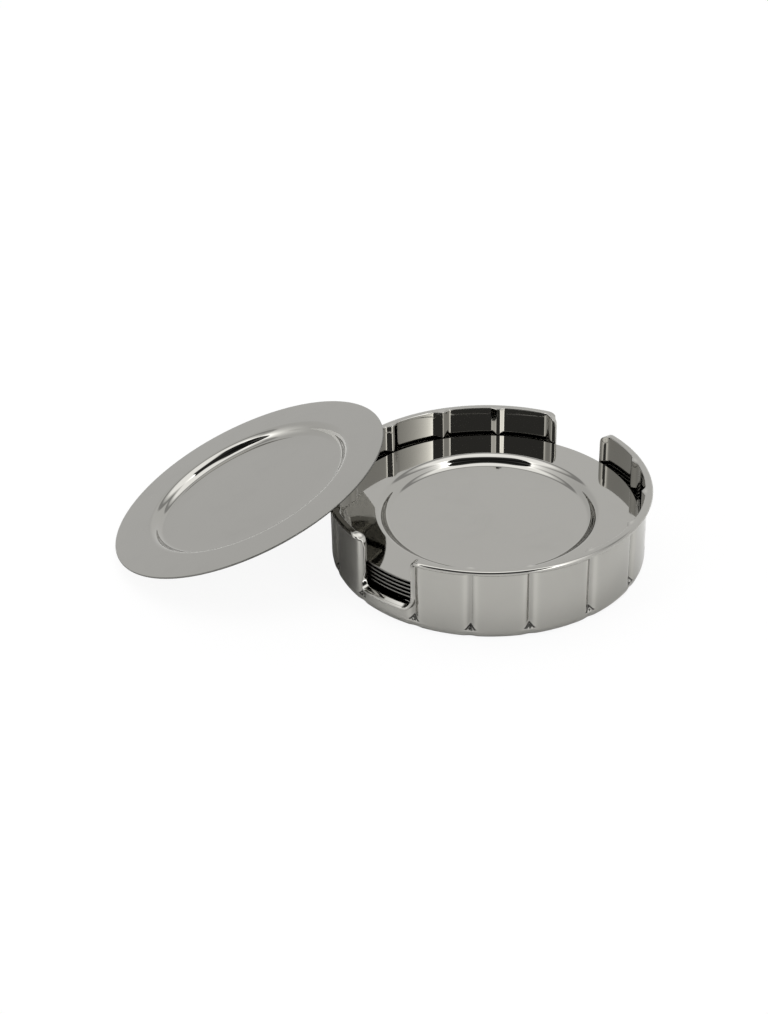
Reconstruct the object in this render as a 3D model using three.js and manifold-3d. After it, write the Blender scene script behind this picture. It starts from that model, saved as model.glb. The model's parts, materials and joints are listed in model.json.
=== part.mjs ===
// A set of round metal coasters with its holder, in millimetres, +Z up.
// The holder is an open pressed cup with a fluted wall, a turned-out lip and two finger openings.
// Five coasters are nested in it and a sixth leans on its rim, with its low edge on the table.

import * as THREE from 'three';
import { mergeVertices } from 'three/addons/utils/BufferGeometryUtils.js';
import Module from 'manifold-3d';

// Coaster: one pressed dish with a wide flat rim round a shallow well.
const COASTER_RADIUS = 50;
const COASTER_SHEET = 0.7;
const WELL_RADIUS = 36;
const WELL_DEPTH = 3;
const WELL_SLOPE_RUN = 2.5;
const WELL_LIP_FILLET = 3.2;
const WELL_FOOT_FILLET = 3.2;

// Stack of nested coasters.
const STACK_COUNT = 5;
const NEST_CLEARANCE = 0.25;

// Holder: floor, standing ring and wall.
const HOLDER_HEIGHT = 26.2;
const HOLDER_SHEET = 0.9;
const FLOOR_HEIGHT = 6;
const FLOOR_MARGIN = 5;
const FLOOR_STEP_RUN = 3;
const FLOOR_STEP_FILLET = 1.8;
const FOOT_FILLET = 2.6;
const STACK_CLEARANCE = 0.3;

// Flutes pressed into the wall: V grooves outside, ridges inside, each ended by a slanted facet at its foot.
// The ones beside an opening stand a set distance from its edge, and set steps in degrees follow them.
const FLUTES_PER_SIDE = 8;
const FLUTE_WIDTH = 4.6;
const FLUTE_DEPTH = 1.2;
const FLUTE_TIP_RADIUS = 0.3;
const FLUTE_FOOT = 3.0;
const FLUTE_FOOT_RISE = 2.2;
const FLUTE_EDGE = 1.4;
const FLUTE_FRONT_GAPS = 2;
const FLUTE_FRONT_STEP = 20.5;
const FLUTE_REAR_GAPS = 3;
const FLUTE_REAR_STEP = 22.5;

// Lip turned out along the top edge and along the sills of the finger openings, where it fades up the sides.
const LIP_REACH = 1.6;
const LIP_THICKNESS = 1.4;
const LIP_ROUNDING = 0.55;
const LIP_FADE = 4;

// Finger openings, one on each side.
const OPENING_WIDTH = 19.2;
const OPENING_SILL = 8.4;
const OPENING_FOOT_RADIUS = 2.4;
const OPENING_SHOULDER_RADIUS = 4.2;

// Leaning coaster: where the rim touches the underside of its well, and which way it lies.
const LEAN_INSET = 5.2;
const LEAN_HEADING = 217.5;
const LEAN_SIDESTEP = -7.3;
const LEAN_CLEARANCE = 0.3;

// Facets, and the largest share of a straight run that a fillet may take.
const COASTER_FACETS = 44;
const COASTER_EDGE_STEPS = 4;
const HOLDER_FACETS = 64;
const OPENING_STEPS = 5;
const FLUTE_TIP_STEPS = 3;
const FILLET_STEPS = 2;
const FILLET_SHARE = 0.48;

// Sizes that follow from the ones above.
const WELL_FLOOR_RADIUS = WELL_RADIUS - WELL_SLOPE_RUN;
const WELL_SLOPE_SINE = WELL_SLOPE_RUN / Math.hypot(WELL_SLOPE_RUN, WELL_DEPTH);
const NEST_PITCH = (COASTER_SHEET + NEST_CLEARANCE) / WELL_SLOPE_SINE;
const RIDGE_RADIUS = COASTER_RADIUS + STACK_CLEARANCE;
const WALL_INNER_RADIUS = RIDGE_RADIUS + FLUTE_DEPTH;
const WALL_RADIUS = WALL_INNER_RADIUS + HOLDER_SHEET;
const RIM_RADIUS = WALL_RADIUS + LIP_REACH;
const FLOOR_RADIUS = WELL_FLOOR_RADIUS + FLOOR_MARGIN;
const STACK_SEAT = FLOOR_HEIGHT + NEST_CLEARANCE + COASTER_SHEET + WELL_DEPTH;
const HALF_OPENING = OPENING_WIDTH / 2;
const FLUTE_TIP_DROP = FLUTE_DEPTH - FLUTE_TIP_RADIUS;
const FLUTE_SLOPE = Math.atan2(FLUTE_TIP_DROP, FLUTE_WIDTH / 2)
  + Math.asin(FLUTE_TIP_RADIUS / Math.hypot(FLUTE_TIP_DROP, FLUTE_WIDTH / 2));

const wasm = await Module();
wasm.setup();

// A path of straight runs whose corners are rounded: each corner is [radius, height, fillet].
function roundedPath(corners) {
  const path = [];
  corners.forEach(([r, z, fillet], i) => {
    const here = new THREE.Vector2(r, z);
    if (!fillet) {
      path.push(here);
      return;
    }
    const before = new THREE.Vector2(...corners[i - 1].slice(0, 2)).sub(here);
    const after = new THREE.Vector2(...corners[i + 1].slice(0, 2)).sub(here);
    const half = Math.acos(before.clone().normalize().dot(after.clone().normalize())) / 2;
    const room = FILLET_SHARE * Math.min(before.length(), after.length());
    const reach = Math.min(fillet / Math.tan(half), room);
    const from = here.clone().add(before.setLength(reach));
    const to = here.clone().add(after.setLength(reach));
    const radius = reach * Math.tan(half);
    const bisector = from.clone().add(to).multiplyScalar(0.5).sub(here);
    const centre = bisector.setLength(radius / Math.sin(half)).add(here);
    const start = from.clone().sub(centre).angle();
    let turn = to.clone().sub(centre).angle() - start;
    turn -= 2 * Math.PI * Math.round(turn / (2 * Math.PI));
    for (let k = 0; k <= FILLET_STEPS; k += 1) {
      const angle = start + turn * k / FILLET_STEPS;
      path.push(new THREE.Vector2(Math.cos(angle), Math.sin(angle)).multiplyScalar(radius).add(centre));
    }
  });
  return path;
}

// The same path moved sideways, to the left of its direction, so that a sheet keeps its thickness.
function offsetPath(path, distance) {
  return path.map((point, i) => {
    const into = point.clone().sub(path[Math.max(i - 1, 0)]).normalize();
    const out = path[Math.min(i + 1, path.length - 1)].clone().sub(point).normalize();
    const along = into.clone().add(out).normalize();
    const straight = i === 0 ? out : into;
    const left = new THREE.Vector2(-along.y, along.x);
    return left.multiplyScalar(distance / along.dot(straight)).add(point);
  });
}

// Shared corners merged and faces turned outwards, ready to join and cut.
function toSolid(geometry) {
  const bare = geometry.clone();
  bare.deleteAttribute('normal');
  bare.deleteAttribute('uv');
  const merged = mergeVertices(bare, 1e-5);
  const place = merged.attributes.position;
  const index = merged.index.array;
  const corner = [new THREE.Vector3(), new THREE.Vector3(), new THREE.Vector3()];
  const faces = [];
  let volume = 0;
  for (let i = 0; i < index.length; i += 3) {
    const [a, b, c] = [index[i], index[i + 1], index[i + 2]];
    if (a !== b && b !== c && c !== a) {
      faces.push([a, b, c]);
      [a, b, c].forEach((n, k) => corner[k].fromBufferAttribute(place, n));
      volume += corner[0].dot(corner[1].clone().cross(corner[2]));
    }
  }
  const turned = volume < 0 ? faces.map(([a, b, c]) => [a, c, b]) : faces;
  return new wasm.Manifold(new wasm.Mesh({
    numProp: 3,
    vertProperties: new Float32Array(place.array),
    triVerts: new Uint32Array(turned.flat()),
  }));
}

// A solid's surface as a geometry.
function toGeometry(solid) {
  const mesh = solid.getMesh();
  const geometry = new THREE.BufferGeometry();
  geometry.setAttribute('position', new THREE.BufferAttribute(new Float32Array(mesh.vertProperties), 3));
  geometry.setIndex(new THREE.BufferAttribute(new Uint32Array(mesh.triVerts), 1));
  geometry.computeVertexNormals();
  return geometry;
}

// A profile of radius and height turned about +Z.
function revolve(profile, facets) {
  return new THREE.LatheGeometry(profile, facets).rotateX(Math.PI / 2);
}

// An outline drawn out along +Z from the plane z = 0.
function extrude(outline, depth, curveSegments) {
  return new THREE.ExtrudeGeometry(outline, { depth, bevelEnabled: false, curveSegments });
}

// Coaster: origin on its axis in the plane of the flat rim.
function coasterGeometry() {
  const edge = COASTER_SHEET / 2;
  const top = roundedPath([
    [0, -WELL_DEPTH, 0],
    [WELL_FLOOR_RADIUS, -WELL_DEPTH, WELL_FOOT_FILLET],
    [WELL_RADIUS, 0, WELL_LIP_FILLET],
    [COASTER_RADIUS - edge, 0, 0],
  ]);
  const under = offsetPath(top, -COASTER_SHEET).reverse();
  const round = [];
  for (let k = 1; k < COASTER_EDGE_STEPS; k += 1) {
    const angle = Math.PI / 2 - Math.PI * k / COASTER_EDGE_STEPS;
    const outwards = edge * Math.cos(angle);
    round.push(new THREE.Vector2(COASTER_RADIUS - edge + outwards, edge * Math.sin(angle) - edge));
  }
  return toGeometry(toSolid(revolve([...top, ...round, ...under], COASTER_FACETS)));
}

// The sheet of the holder as its underside and outer face, from the axis to the top of the wall.
function holderSheetPath() {
  return roundedPath([
    [0, FLOOR_HEIGHT - HOLDER_SHEET, 0],
    [FLOOR_RADIUS, FLOOR_HEIGHT - HOLDER_SHEET, FLOOR_STEP_FILLET],
    [FLOOR_RADIUS + FLOOR_STEP_RUN, 0, FLOOR_STEP_FILLET],
    [WALL_RADIUS, 0, FOOT_FILLET],
    [WALL_RADIUS, HOLDER_HEIGHT, 0],
  ]);
}

// Angles of the flutes from the front opening, the same on both sides: the front ones and the rear ones keep
// their steps from the openings, and the rest share the wall between them.
function fluteAngles() {
  const first = Math.asin((HALF_OPENING + FLUTE_EDGE) / WALL_RADIUS);
  const front = THREE.MathUtils.degToRad(FLUTE_FRONT_STEP);
  const rear = THREE.MathUtils.degToRad(FLUTE_REAR_STEP);
  const nearEnd = first + FLUTE_FRONT_GAPS * front;
  const farEnd = Math.PI - first - FLUTE_REAR_GAPS * rear;
  const sharedGaps = FLUTES_PER_SIDE - 1 - FLUTE_FRONT_GAPS - FLUTE_REAR_GAPS;
  const steps = [
    ...Array(FLUTE_FRONT_GAPS).fill(front),
    ...Array(sharedGaps).fill((farEnd - nearEnd) / sharedGaps),
    ...Array(FLUTE_REAR_GAPS).fill(rear),
  ];
  const angles = [first, -first];
  let angle = first;
  steps.forEach((step) => {
    angle += step;
    angles.push(angle, -angle);
  });
  return angles;
}

// One flute as a wedge with a round tip that points at the axis; a thicker one makes the ridge inside.
function fluteWedge(thickness, top) {
  const tip = FLUTE_TIP_RADIUS + thickness;
  const centre = WALL_RADIUS - FLUTE_TIP_DROP;
  const outer = RIM_RADIUS;
  const run = (outer - centre + tip * Math.cos(FLUTE_SLOPE)) / Math.tan(FLUTE_SLOPE);
  const half = tip * Math.sin(FLUTE_SLOPE) + run;
  const section = new THREE.Shape();
  section.moveTo(half, outer);
  section.lineTo(-half, outer);
  section.absarc(0, centre, tip, -Math.PI / 2 - FLUTE_SLOPE, -Math.PI / 2 + FLUTE_SLOPE, false);
  const wedge = extrude(section, top, FLUTE_TIP_STEPS);
  const rise = FLUTE_FOOT_RISE / FLUTE_DEPTH;
  const foot = FLUTE_FOOT - thickness * Math.hypot(rise, 1);
  const place = wedge.attributes.position;
  for (let i = 0; i < place.count; i += 1) {
    if (place.getZ(i) < top / 2) {
      place.setZ(i, foot + rise * (WALL_RADIUS - place.getY(i)));
    }
  }
  return wedge;
}

// All flutes of one thickness set round the wall, joined as one solid.
function fluteRing(thickness, top) {
  return fluteAngles().map((angle) => toSolid(fluteWedge(thickness, top).rotateZ(Math.PI + angle)))
    .reduce((all, one) => all.add(one));
}

// A finger opening seen from the front, larger by a margin, open at the top with rounded shoulders.
function openingSolid(margin, above) {
  const half = HALF_OPENING + margin;
  const sill = OPENING_SILL - margin;
  const foot = OPENING_FOOT_RADIUS + margin;
  const shoulder = Math.max(OPENING_SHOULDER_RADIUS - margin, LIP_ROUNDING);
  const outline = new THREE.Shape();
  outline.moveTo(half + shoulder, HOLDER_HEIGHT + above);
  outline.lineTo(-half - shoulder, HOLDER_HEIGHT + above);
  outline.lineTo(-half - shoulder, HOLDER_HEIGHT);
  outline.absarc(-half - shoulder, HOLDER_HEIGHT - shoulder, shoulder, Math.PI / 2, 0, true);
  outline.absarc(-half + foot, sill + foot, foot, Math.PI, Math.PI * 1.5, false);
  outline.absarc(half - foot, sill + foot, foot, Math.PI * 1.5, Math.PI * 2, false);
  outline.absarc(half + shoulder, HOLDER_HEIGHT - shoulder, shoulder, Math.PI, Math.PI / 2, true);
  const length = 2 * (RIM_RADIUS + LIP_REACH);
  const prism = extrude(outline, length, OPENING_STEPS);
  prism.rotateX(Math.PI / 2);
  prism.translate(0, length / 2, 0);
  return toSolid(prism);
}

// Lip along the top edge: a ring with rounded edges, turned out from the wall.
function rimLip() {
  const inner = WALL_INNER_RADIUS;
  const bottom = HOLDER_HEIGHT - LIP_THICKNESS;
  return toSolid(revolve(roundedPath([
    [inner, bottom, 0],
    [RIM_RADIUS, bottom, LIP_ROUNDING],
    [RIM_RADIUS, HOLDER_HEIGHT, LIP_ROUNDING],
    [inner, HOLDER_HEIGHT, 0],
    [inner, bottom, 0],
  ]), HOLDER_FACETS));
}

// Lips along both sills: a ring that narrows upwards, kept only beside the openings.
function sillLips() {
  const inner = WALL_INNER_RADIUS;
  const bottom = OPENING_SILL - LIP_THICKNESS;
  const top = OPENING_SILL + LIP_FADE;
  const ring = toSolid(revolve(roundedPath([
    [inner, bottom, 0],
    [RIM_RADIUS, bottom, LIP_ROUNDING],
    [RIM_RADIUS, OPENING_SILL, 0],
    [WALL_RADIUS, top, 0],
    [inner, top, 0],
    [inner, bottom, 0],
  ]), HOLDER_FACETS));
  return ring.intersect(openingSolid(LIP_THICKNESS, 0));
}

// Holder: origin on its axis in the plane of the table.
function holderGeometry() {
  const outside = holderSheetPath();
  const inside = offsetPath(outside, HOLDER_SHEET);
  const axisTop = new THREE.Vector2(0, HOLDER_HEIGHT);
  const mouth = LIP_THICKNESS;
  const brim = new THREE.Vector2(WALL_INNER_RADIUS, HOLDER_HEIGHT + mouth);
  const body = toSolid(revolve([...outside, axisTop], HOLDER_FACETS));
  const hollow = [...inside, brim, new THREE.Vector2(0, HOLDER_HEIGHT + mouth)];
  const cavity = toSolid(revolve(hollow, HOLDER_FACETS));
  const grooves = fluteRing(0, HOLDER_HEIGHT - LIP_THICKNESS - HOLDER_SHEET);
  const ridges = fluteRing(HOLDER_SHEET, HOLDER_HEIGHT);
  const opening = openingSolid(0, mouth);
  const walls = body.subtract(grooves).subtract(cavity.subtract(ridges.intersect(body)));
  return toGeometry(walls.add(rimLip()).add(sillLips()).subtract(opening));
}

// Polished plated metal, one material for each piece.
function metal() {
  return new THREE.MeshStandardMaterial({ color: 0xaba9a6, roughness: 0.08, metalness: 1 });
}

function piece(name, geometry) {
  const mesh = new THREE.Mesh(geometry, metal());
  mesh.name = name;
  return mesh;
}

const set = new THREE.Group();
set.add(piece('holder', holderGeometry()));

// Stack: each coaster nests on the slope of the well below it.
const dish = coasterGeometry();
for (let k = 0; k < STACK_COUNT; k += 1) {
  const coaster = piece(`coaster_${k + 1}`, dish.clone());
  coaster.position.z = STACK_SEAT + k * NEST_PITCH;
  set.add(coaster);
}

// Leaning coaster: its low edge is on the table and the underside of its well lies on the rim.
const contact = WELL_FLOOR_RADIUS - LEAN_INSET;
const lift = WELL_DEPTH + LIP_ROUNDING + LEAN_CLEARANCE;
const span = COASTER_RADIUS + contact;
const lean = Math.asin((HOLDER_HEIGHT - LIP_ROUNDING) / Math.hypot(span, lift)) + Math.atan2(lift, span);
const depth = lift + COASTER_SHEET;
const leaningCoaster = piece('leaning_coaster', dish.clone());
const tilted = new THREE.Group();
tilted.position.x = RIM_RADIUS - LIP_ROUNDING + contact * Math.cos(lean) + depth * Math.sin(lean);
tilted.position.y = LEAN_SIDESTEP;
tilted.position.z = COASTER_RADIUS * Math.sin(lean) + COASTER_SHEET * Math.cos(lean);
tilted.rotation.y = lean;
tilted.add(leaningCoaster);
const heading = new THREE.Group();
heading.rotation.z = THREE.MathUtils.degToRad(LEAN_HEADING);
heading.add(tilted);
set.add(heading);

// The origin is the centre of the set's footprint, on the table.
set.updateMatrixWorld(true);
const bounds = new THREE.Box3().setFromObject(set, true);
set.position.set(-(bounds.min.x + bounds.max.x) / 2, -(bounds.min.y + bounds.max.y) / 2, 0);
set.updateMatrixWorld(true);

export default set;
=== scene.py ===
"""A mirror-polished coaster set: five coasters nested in a fluted holder and a sixth leaning on its rim."""

import json
import math

import bmesh
import bpy
import numpy as np
from mathutils import Matrix, Vector


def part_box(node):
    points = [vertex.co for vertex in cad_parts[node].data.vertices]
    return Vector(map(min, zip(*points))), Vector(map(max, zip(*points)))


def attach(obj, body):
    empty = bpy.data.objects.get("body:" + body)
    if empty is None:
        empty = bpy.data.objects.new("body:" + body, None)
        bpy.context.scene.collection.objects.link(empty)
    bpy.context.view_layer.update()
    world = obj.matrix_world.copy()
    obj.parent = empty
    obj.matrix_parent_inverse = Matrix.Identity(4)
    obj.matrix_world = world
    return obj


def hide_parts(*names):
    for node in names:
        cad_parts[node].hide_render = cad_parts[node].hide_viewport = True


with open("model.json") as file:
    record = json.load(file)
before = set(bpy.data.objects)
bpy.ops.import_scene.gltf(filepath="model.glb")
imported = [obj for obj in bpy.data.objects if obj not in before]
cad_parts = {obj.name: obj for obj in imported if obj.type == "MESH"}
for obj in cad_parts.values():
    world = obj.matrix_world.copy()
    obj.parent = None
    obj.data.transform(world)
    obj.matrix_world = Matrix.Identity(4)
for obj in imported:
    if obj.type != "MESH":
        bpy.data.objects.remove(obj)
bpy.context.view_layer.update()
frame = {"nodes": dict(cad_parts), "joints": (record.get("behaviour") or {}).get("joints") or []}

MM = 0.001
SAME_PLACE = 0.002 * MM
SAME_PLACE_DIGITS = 7

# Places and outer sizes come from the frame.
HOLDER_LOW, HOLDER_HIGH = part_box("holder")
HOLDER_AXIS = Vector(((HOLDER_LOW.x + HOLDER_HIGH.x) / 2, (HOLDER_LOW.y + HOLDER_HIGH.y) / 2, 0))
HOLDER_HEIGHT = HOLDER_HIGH.z
RIM_RADIUS = (HOLDER_HIGH.x - HOLDER_LOW.x) / 2
DISH_LOW, DISH_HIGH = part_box("coaster_1")
DISH_TRIM = 0.13 * MM
DISH_RADIUS = (DISH_HIGH.x - DISH_LOW.x) / 2 - DISH_TRIM
STACK = ("coaster_1", "coaster_2", "coaster_3", "coaster_4", "coaster_5")
LEANER = "leaning_coaster"

# Coaster: pressed sheet, flat rim, sloped well whose floor eases up to the slope.
DISH_SHEET = 0.7 * MM
WELL_RADIUS = 35.85 * MM
WELL_DEPTH = 3.0 * MM
WELL_SLOPE_RUN = 1.9 * MM
WELL_LIP_FILLET = 3.3 * MM
WELL_FOOT_FILLET = 2.9 * MM
WELL_FLOOR_EASE = 5 * MM
WELL_FLOOR_RISE = 0.2 * MM
WELL_FLOOR_FILLET = 165 * MM
WELL_STEPS = 28
DISH_SEGMENTS = 192
DISH_TOP_ROUNDING = 0.28 * MM
DISH_UNDER_ROUNDING = 0.36 * MM
DISH_RIM_END = DISH_RADIUS - 3 * DISH_UNDER_ROUNDING
DISH_EDGE_START = DISH_RADIUS - 2 * DISH_UNDER_ROUNDING
DISH_EDGE_STEPS = 6
DISH_HOLD = 0.06 * MM
DISH_EDGE_HOLD = 0.4 * DISH_HOLD
CUT_EDGE = 0.22 * MM
CUT_EDGE_FADE = 0.12 * MM

# Holder: sheet, foot and raised floor.
HOLDER_SHEET = 0.9 * MM
LIP_REACH = 1.6 * MM
WALL_RADIUS = RIM_RADIUS - LIP_REACH
FLOOR_HEIGHT = 6 * MM
FLOOR_RADIUS = 38.5 * MM
FLOOR_STEP_RUN = 3 * MM
FLOOR_STEP_FILLET = 1.8 * MM
FOOT_FILLET = 2.6 * MM
BASE_STEPS = 5
BASE_HOLD = 0.15 * MM

# Lip along the rim and the sills.
LIP_THICKNESS = 1.7 * MM
LIP_CREASE = 0.35 * MM
LIP_INNER_FILLET = 0.3 * MM
LIP_BAND = 2.2 * MM
SILL_LIP_DROP = 0.55 * MM
SILL_LIP_FADE = 4.2 * MM
SHOULDER_LIP_FADE = 4.4 * MM
CREASE_POINTS = 6
UNDER_LIP_POINTS = 4
NOSE_POINTS = 13
LIP_TOP_POINTS = 6
INNER_FILLET_POINTS = 6
INNER_RUN_POINTS = 4
PLAIN_RUN_POINTS = 13

# Finger openings.
OPENING_HALF_CHORD = 9.6 * MM
OPENING_HALF = WALL_RADIUS * math.asin(OPENING_HALF_CHORD / WALL_RADIUS)
OPENING_SILL = 8.4 * MM
OPENING_FOOT_RADIUS = 2.4 * MM
OPENING_SHOULDER_RADIUS = 4.2 * MM

# The inner border of the lip's band, on the unrolled wall.
HALF_ROUND = math.pi * WALL_RADIUS
BAND_HALF = OPENING_HALF + LIP_BAND
BAND_SILL = OPENING_SILL - LIP_BAND
BAND_TOP = HOLDER_HEIGHT - LIP_BAND
BAND_FOOT_RADIUS = OPENING_FOOT_RADIUS + LIP_BAND
BAND_SHOULDER_RADIUS = OPENING_SHOULDER_RADIUS - LIP_BAND
BAND_JOINT = BAND_SILL + BAND_FOOT_RADIUS

# Rows and columns of the holder's wall.
SILL_COLUMNS = 9
FOOT_COLUMNS = 16
SHOULDER_COLUMNS = 14
FLUTE_COLUMNS = 29
FLUTE_COLUMNS_REACH = 3.6 * MM
NARROWEST_COLUMN = 0.06 * MM
WIDEST_COLUMN = 1.3 * MM
LOW_ROWS = 17
LOW_ROWS_BIAS = 1.25
HIGH_ROWS = 15
HIGH_ROWS_BIAS = 1.3
TOUCHING = 1e-9

# Flutes.
FLUTES_PER_SIDE = 8
FLUTE_EDGE = 1.4 * MM
FLUTE_FRONT_GAPS = 2
FLUTE_FRONT_STEP = math.radians(20.5)
FLUTE_REAR_GAPS = 3
FLUTE_REAR_STEP = math.radians(22.5)
FLUTE_DEPTH = 1.2 * MM
FLUTE_SLOPE_OUTSIDE = 0.85
FLUTE_SLOPE_INSIDE = 0.55
FLUTE_TIP_OUTSIDE = 0.22 * MM
FLUTE_TIP_INSIDE = 0.6 * MM
FLUTE_SHOULDER_OUTSIDE = 0.9 * MM
FLUTE_SHOULDER_INSIDE = 0.4 * MM
FLUTE_FOOT = 3.0 * MM
FLUTE_FOOT_RISE = 2.2 * MM
FLUTE_FOOT_SOFTNESS = 0.18 * MM
FLUTE_DENT = 0.35 * MM
FLUTE_DENT_REACH = 1.8 * MM
FLUTE_DENT_HEIGHT = 3.2 * MM
FLUTE_DENT_FADE = 2.4 * MM
FLUTE_TOP_GAP = 0.9 * MM
FLUTE_TOP_FADE = 1.0 * MM

# Metal: colour, roughness and the waves and marks of its finish.
METAL_COLOUR = (0.376, 0.369, 0.346, 1)
POLISH_ROUGHNESS = 0.035
MARKS_ROUGHNESS = 0.05
SMUDGE_ROUGHNESS = 0.03
CUT_EDGE_ROUGHNESS = 0.25
POCKET_ROUGHNESS = 0.35
SMUDGE_SHADE = 0.03
MARKS_HEIGHT = 0.02
BUMP_STRENGTH = 0.35
BUMP_DISTANCE = 0.05 * MM
HOLDER_RIPPLE = 1.0
HOLDER_MARKS_TURN = 0.35
DISH_RIPPLE = 0.6
DISH_MARKS_TURN = 1.1

# Polishing marks, handling smudges and press ripple: noise, and the range of it that shows.
MARKS_SCALE = 900.0
MARKS_STRETCH = 14.0
MARKS_DETAIL = 3.0
MARKS_RISE = (0.58, 0.72)
SMUDGE_SCALE = 55.0
SMUDGE_DETAIL = 5.0
SMUDGE_GRAIN = 0.6
SMUDGE_DISTORTION = 0.6
SMUDGE_RISE = (0.45, 0.75)
RIPPLE_SCALE = 60.0
RIPPLE_DETAIL = 1.0
RIPPLE_GRAIN = 0.4

# Painted highlight on the flute shoulders, painted shade in the flute bottoms and pockets, and the darker
# sheared cut edges: strengths, and ranges of a share of the flute's depth.
SHOULDER_HIGHLIGHT = 0.2
GROOVE_SHADE = 0.1
POCKET_SHADE = 0.88
SHEARED = 0.6
SHOULDER_RISE = (0.03, 0.25)
SHOULDER_FALL = (0.4, 0.75)
BOTTOM_RISE = (0.7, 1.0)
POCKET_RISE = (0.03, 0.12)
POCKET_TOE_RISE = (0.06, 0.2)
POCKET_ROOF_FALL = (0.26, 0.46)
PATCH_SCALE = 1100.0
PATCH_DETAIL = 2.0
PATCH_RISE = (0.44, 0.54)

# Colour sockets of a Mix node, by place, because its sockets share their names.
MIX_SHARE = 0
MIX_FIRST = 6
MIX_SECOND = 7
MIX_RESULT = 2

# Studio floor.
FLOOR_HALF = 3.0
PAPER_COLOUR = (0.95, 0.95, 0.945, 1)
PAPER_WHITE_SHARE = 0.92
WHITE = (1, 1, 1, 1)

# Studio light, in degrees round the room and up: the dark side of the room, between two slanting edges.
DEGREES = 180 / math.pi
STUDIO_LEVEL = 1.0
DARK_RIGHT = 54
DARK_RIGHT_SLANT = 0.8
DARK_LEFT = 4
DARK_LEFT_SLANT = -0.45
DARK_EDGE = (-2, 1)
DARK_RISE = (6, 14)
DARK_FALL = (70, 80)
DARK_SHARE = 0.87
DARK_SHARE_MORE = 0.105
DARK_SHARE_RISE = (33, 40)

# The soft lamps beside the dark side, the bright ceiling and the dimmer gap below it, also in degrees.
LAMP_EDGE = (-1, 1)
LAMP_RISE = (8, 18)
LAMP_FALL = (56, 66)
RIGHT_LAMP = 5.5
RIGHT_LAMP_REACH = 11
LEFT_LAMP = 2.2
LEFT_LAMP_REACH = 14
CEILING = 1.0
CEILING_RISE = (52, 62)
GAP = 0.5
GAP_RISE = (40, 44)
GAP_FALL = (48, 53)

# The far left of the room is a little dimmer, by the direction's share to the left.
FAR_LEFT = 0.13
FAR_LEFT_RISE = (0.6, 0.85)

# The room lights the paper a little more than it lights the metal.
PAPER_FILL = 0.12

# Camera, fitted to the photograph: place and turn about the holder's axis.
CAMERA_PLACE = Vector((-34.59, -509.56, 331.38)) * MM
CAMERA_HEADING = math.radians(42.15)
CAMERA_PITCH = 0.5519
CAMERA_ROLL = -0.0266
CAMERA_FOCAL_PIXELS = 1800
CAMERA_NEAREST = 0.01
CAMERA_FARTHEST = 20
IMAGE_HEIGHT = 1014
SENSOR = 36


# Arithmetic on node sockets.

class Field:
    """One output of a node, which can be added, scaled and so on as a number is."""

    def __init__(self, nodes, socket):
        self.nodes = nodes
        self.socket = socket

    def __add__(self, other):
        return self.nodes.math("ADD", self, other)

    def __sub__(self, other):
        return self.nodes.math("SUBTRACT", self, other)

    def __rsub__(self, other):
        return self.nodes.math("SUBTRACT", other, self)

    def __mul__(self, other):
        return self.nodes.math("MULTIPLY", self, other)

    def __truediv__(self, other):
        return self.nodes.math("DIVIDE", self, other)

    __radd__ = __add__
    __rmul__ = __mul__


class Nodes:
    """Adds nodes to one tree and joins them."""

    def __init__(self, tree):
        self.tree = tree

    def add(self, kind, inputs=None, **settings):
        node = self.tree.nodes.new(kind)
        for key, value in settings.items():
            setattr(node, key, value)
        for key, value in (inputs or {}).items():
            self.feed(node.inputs[key], value)
        return node

    def feed(self, socket, value):
        if isinstance(value, Field):
            self.tree.links.new(value.socket, socket)
        elif isinstance(value, bpy.types.NodeSocket):
            self.tree.links.new(value, socket)
        else:
            socket.default_value = value

    def field(self, node, output=0):
        return Field(self, node.outputs[output])

    def math(self, operation, *values):
        node = self.add("ShaderNodeMath", operation=operation)
        for socket, value in zip(node.inputs, values):
            self.feed(socket, value)
        return Field(self, node.outputs[0])

    def split(self, vector):
        node = self.add("ShaderNodeSeparateXYZ", {"Vector": vector})
        return [Field(self, socket) for socket in node.outputs]

    def join(self, x, y, z):
        return self.field(self.add("ShaderNodeCombineXYZ", {"X": x, "Y": y, "Z": z}))

    def smooth_step(self, value, low, high):
        """Soft rise from 0 at the low value to 1 at the high one."""
        node = self.add("ShaderNodeMapRange", {"Value": value, "From Min": low, "From Max": high})
        node.interpolation_type = "SMOOTHSTEP"
        return self.field(node)

    def band(self, value, rise, fall):
        """Full between a soft rise and a soft fall, and nothing outside them."""
        return self.smooth_step(value, *rise) * (1 - self.smooth_step(value, *fall))

    def soft_above_zero(self, value, softness):
        """The value above zero and nothing below, with a soft turn between."""
        return (value + self.math("SQRT", value * value + softness * softness)) * 0.5

    def soft_lower(self, a, b, softness):
        """The lower of two values, with a soft turn between."""
        gap = a - b
        return (a + b - self.math("SQRT", gap * gap + softness * softness)) * 0.5

    def length(self, x, y):
        return self.math("SQRT", x * x + y * y)

    def position(self):
        return self.field(self.add("GeometryNodeInputPosition"))

    def position_of(self, geometry, index):
        """The place of one point of a geometry, as three numbers."""
        node = self.add("GeometryNodeSampleIndex", data_type="FLOAT_VECTOR", domain="POINT")
        self.feed(node.inputs["Geometry"], geometry)
        self.feed(node.inputs["Value"], self.position())
        self.feed(node.inputs["Index"], index)
        return self.split(self.field(node))

    def store(self, geometry, kind, name, value):
        """The geometry with a named attribute on its points."""
        node = self.add("GeometryNodeStoreNamedAttribute", data_type=kind, domain="POINT")
        self.feed(node.inputs["Geometry"], geometry)
        self.feed(node.inputs["Name"], name)
        self.feed(node.inputs["Value"], value)
        return node.outputs[0]

    def in_metal(self, geometry, metal):
        """The geometry made real and given its material."""
        real = self.add("GeometryNodeRealizeInstances", {"Geometry": geometry})
        dressed = self.add("GeometryNodeSetMaterial", {"Geometry": real.outputs[0], "Material": metal})
        return dressed.outputs[0]


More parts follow.
